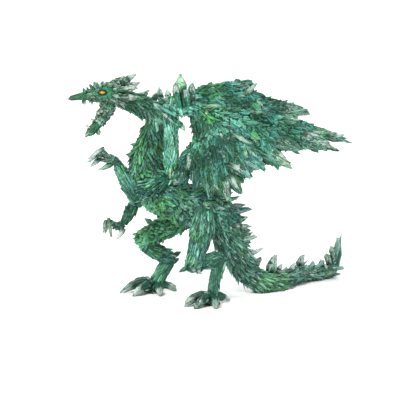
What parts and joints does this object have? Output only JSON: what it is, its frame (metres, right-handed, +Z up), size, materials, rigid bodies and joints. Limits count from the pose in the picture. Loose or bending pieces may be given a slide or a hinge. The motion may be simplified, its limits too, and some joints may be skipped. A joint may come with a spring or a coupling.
{
  "type": "dragon tabletop miniature",
  "caption": "Painted crystal-covered dragon figure, standing on two legs and its tail with wings raised, glued up from cast parts; rests on its foot soles.",
  "frame": {"origin": "on the ground, under the middle of the figure's bounding box", "axes": "+Z up; the dragon faces -X, its left side is towards -Y and its tail trails towards +X"},
  "size_m": [0.1859, 0.094, 0.1478],
  "materials": {
    "chest": "moulded plastic, painted grass green with teal flanks, pale dry-brushed crystal tips",
    "claws": "moulded plastic, painted teal with pale grey-white claw tips",
    "hide": "moulded plastic, base-coated dark green, teal and grass-green layers, dry-brushed pale",
    "limbs": "moulded plastic, painted teal green with grass-green patches, dry-brushed pale",
    "skull": "moulded plastic, painted dark green with pale crest crystals, gold eye in a dark socket",
    "tail": "moulded plastic, painted teal green with pale grey crystal tips",
    "wing_arm": "moulded plastic, painted bright teal with pale crystal points at the wrist",
    "wing_fan": "moulded plastic, painted teal and green with pale dry-brushed blade tips",
    "eye": "gloss gold paint, amber at its rim, over a dark socket",
    "tooth": "satin bone-white paint"
  },
  "bodies": {
    "root": {"torso_left": "hide", "torso_right": "hide", "neck_base": "chest", "neck_top": "hide", "head": "skull", "lower_jaw": "skull", "tail_root": "tail", "tail_bend": "tail", "tail_sweep": "tail", "tail_end": "tail", "left_thigh": "limbs", "left_shin": "limbs", "left_lower_leg": "limbs", "left_foot": "claws", "left_upper_arm": "limbs", "left_forearm": "limbs", "left_hand": "claws", "left_wing_upper_arm": "wing_arm", "left_wing_forearm": "wing_arm", "left_wing_fan": "wing_fan", "right_thigh": "limbs", "right_shin": "limbs", "right_lower_leg": "limbs", "right_foot": "claws", "right_upper_arm": "limbs", "right_forearm": "limbs", "right_hand": "claws", "right_wing_upper_arm": "wing_arm", "right_wing_forearm": "wing_arm", "right_wing_fan": "wing_fan"}
  },
  "joints": []
}
